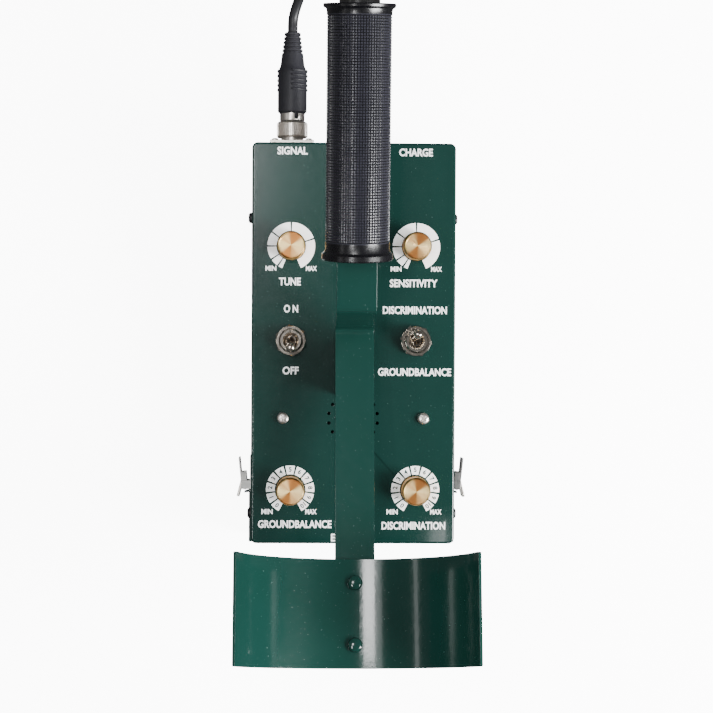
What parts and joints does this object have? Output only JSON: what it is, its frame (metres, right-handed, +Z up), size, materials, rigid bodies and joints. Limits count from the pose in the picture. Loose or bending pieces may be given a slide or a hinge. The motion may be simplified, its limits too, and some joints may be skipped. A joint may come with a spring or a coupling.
{
  "type": "metal detector",
  "caption": "Hand-held metal detector: control box with knobs and toggles, S-shaped handle with grip and arm cuff, telescopic rod, round search coil and signal cable.",
  "frame": {"origin": "centre of the whole detector's footprint, on the surface it stands on", "axes": "+Y forward from the arm cuff to the search coil, +X to the user's right, +Z up, square to the control panel"},
  "size_m": [0.2536, 1.2324, 0.1785],
  "materials": {
    "green_paint": "glossy powder coat",
    "black_tube": "satin",
    "black_rubber": "satin, waffle pattern on the grip",
    "black_plastic": "fine grain",
    "brass": "turned face, knurled side",
    "nickel": "polished",
    "zinc": "zinc plated",
    "black_steel": "blackened",
    "circuit": "solder mask",
    "shrink_wrap": "shrunk film"
  },
  "bodies": {
    "frame": {"panel_cover": "green_paint", "base_tray": "green_paint", "foot_front_left": "black_rubber", "foot_front_right": "black_rubber", "foot_rear_left": "black_rubber", "foot_rear_right": "black_rubber", "latch_base_left": "zinc", "latch_base_right": "zinc", "side_screw_front_left": "black_steel", "side_screw_front_right": "black_steel", "side_screw_rear_left": "black_steel", "side_screw_rear_right": "black_steel", "panel_screw_left": "nickel", "panel_screw_right": "nickel", "tune_pot": "zinc", "sensitivity_pot": "zinc", "ground_balance_pot": "zinc", "discrimination_pot": "zinc", "power_switch_body": "nickel", "power_switch_nut": "nickel", "mode_switch_body": "nickel", "mode_switch_nut": "nickel", "circuit_board": "circuit", "speaker": "black_plastic", "signal_socket": "nickel", "charge_socket": "nickel", "earphone_socket": "nickel", "signal_plug": "black_plastic", "main_tube": "black_tube", "grip": "black_rubber", "arm_cuff": "green_paint", "cuff_bolt_front": "green_paint", "cuff_bolt_rear": "green_paint", "rear_bar": "green_paint", "bar_bracket": "green_paint", "front_brace": "green_paint", "signal_cable": "black_rubber", "rod_cable": "black_rubber"},
    "tune_knob": {"tune_knob": "brass"},
    "sensitivity_knob": {"sensitivity_knob": "brass"},
    "ground_balance_knob": {"ground_balance_knob": "brass"},
    "discrimination_knob": {"discrimination_knob": "brass"},
    "power_lever": {"power_switch_lever": "nickel"},
    "mode_lever": {"mode_switch_lever": "nickel"},
    "plug_collar": {"plug_collar": "nickel"},
    "left_latch_lever": {"latch_lever_left": "zinc"},
    "left_latch_bail": {"latch_bail_left": "nickel"},
    "right_latch_lever": {"latch_lever_right": "zinc"},
    "right_latch_bail": {"latch_bail_right": "nickel"},
    "battery_drawer": {"battery_drawer": "green_paint", "battery_pack": "shrink_wrap"},
    "lock_collar": {"lock_collar": "black_plastic"},
    "lower_rod": {"lower_rod": "black_tube", "coil_yoke": "black_plastic", "coil_cable": "black_rubber"},
    "search_coil": {"coil_housing": "black_plastic", "coil_skid": "black_plastic", "coil_bolt": "black_plastic", "coil_gland": "black_rubber"},
    "wing_nut": {"wing_nut": "black_plastic"}
  },
  "joints": [
    {"name": "tune_turn", "type": "hinge", "parent": "frame", "child": "tune_knob", "pos_m": [-0.0365, -0.38097, 0.066], "axis": [0, 0, -1], "range_deg": [-150, 150]},
    {"name": "sensitivity_turn", "type": "hinge", "parent": "frame", "child": "sensitivity_knob", "pos_m": [0.0365, -0.38097, 0.066], "axis": [0, 0, -1], "range_deg": [-150, 150]},
    {"name": "ground_balance_turn", "type": "hinge", "parent": "frame", "child": "ground_balance_knob", "pos_m": [-0.0365, -0.52297, 0.066], "axis": [0, 0, -1], "range_deg": [-150, 150]},
    {"name": "discrimination_turn", "type": "hinge", "parent": "frame", "child": "discrimination_knob", "pos_m": [0.0365, -0.52297, 0.066], "axis": [0, 0, -1], "range_deg": [-150, 150]},
    {"name": "power_toggle", "type": "hinge", "parent": "frame", "child": "power_lever", "pos_m": [-0.0365, -0.43597, 0.072], "axis": [-1, 0, 0], "range_deg": [0, 30]},
    {"name": "mode_toggle", "type": "hinge", "parent": "frame", "child": "mode_lever", "pos_m": [0.0365, -0.43597, 0.072], "axis": [1, 0, 0], "range_deg": [0, 30]},
    {"name": "plug_collar_turn", "type": "hinge", "parent": "frame", "child": "plug_collar", "pos_m": [-0.0365, -0.32047, 0.036], "axis": [0, 1, 0], "range_deg": [0, 120]},
    {"name": "left_latch_swing", "type": "hinge", "parent": "frame", "child": "left_latch_lever", "pos_m": [-0.064, -0.52347, 0.024], "axis": [0, 0, 1], "range_deg": [-6, 80]},
    {"name": "left_bail_swing", "type": "hinge", "parent": "left_latch_lever", "child": "left_latch_bail", "pos_m": [-0.06532, -0.51858, 0.024], "axis": [0, 0, -1], "range_deg": [-6, 80]},
    {"name": "right_latch_swing", "type": "hinge", "parent": "frame", "child": "right_latch_lever", "pos_m": [0.064, -0.52347, 0.024], "axis": [0, 0, -1], "range_deg": [-6, 80]},
    {"name": "right_bail_swing", "type": "hinge", "parent": "right_latch_lever", "child": "right_latch_bail", "pos_m": [0.06532, -0.51858, 0.024], "axis": [0, 0, 1], "range_deg": [-6, 80]},
    {"name": "drawer_slide", "type": "slide", "parent": "frame", "child": "battery_drawer", "axis": [0, -1, 0], "range_m": [0, 0.062]},
    {"name": "lock_collar_turn", "type": "hinge", "parent": "frame", "child": "lock_collar", "pos_m": [0, 0.11348, 0.10928], "axis": [0, 0.9848, -0.1736], "range_deg": [0, 90]},
    {"name": "rod_slide", "type": "slide", "parent": "frame", "child": "lower_rod", "axis": [0, -0.9848, 0.1736], "range_m": [0, 0.075], "deforming": ["rod_cable"]},
    {"name": "coil_tilt", "type": "hinge", "parent": "lower_rod", "child": "search_coil", "pos_m": [0, 0.48936, 0.043], "axis": [1, 0, 0], "range_deg": [-12, 60], "deforming": ["coil_cable"]},
    {"name": "wing_nut_turn", "type": "hinge", "parent": "search_coil", "child": "wing_nut", "pos_m": [0.0141, 0.48936, 0.043], "axis": [1, 0, 0], "continuous": true}
  ],
  "couplings": [
    {"joint": "left_bail_swing", "follows": "left_latch_swing", "ratio": 1},
    {"joint": "right_bail_swing", "follows": "right_latch_swing", "ratio": 1}
  ]
}
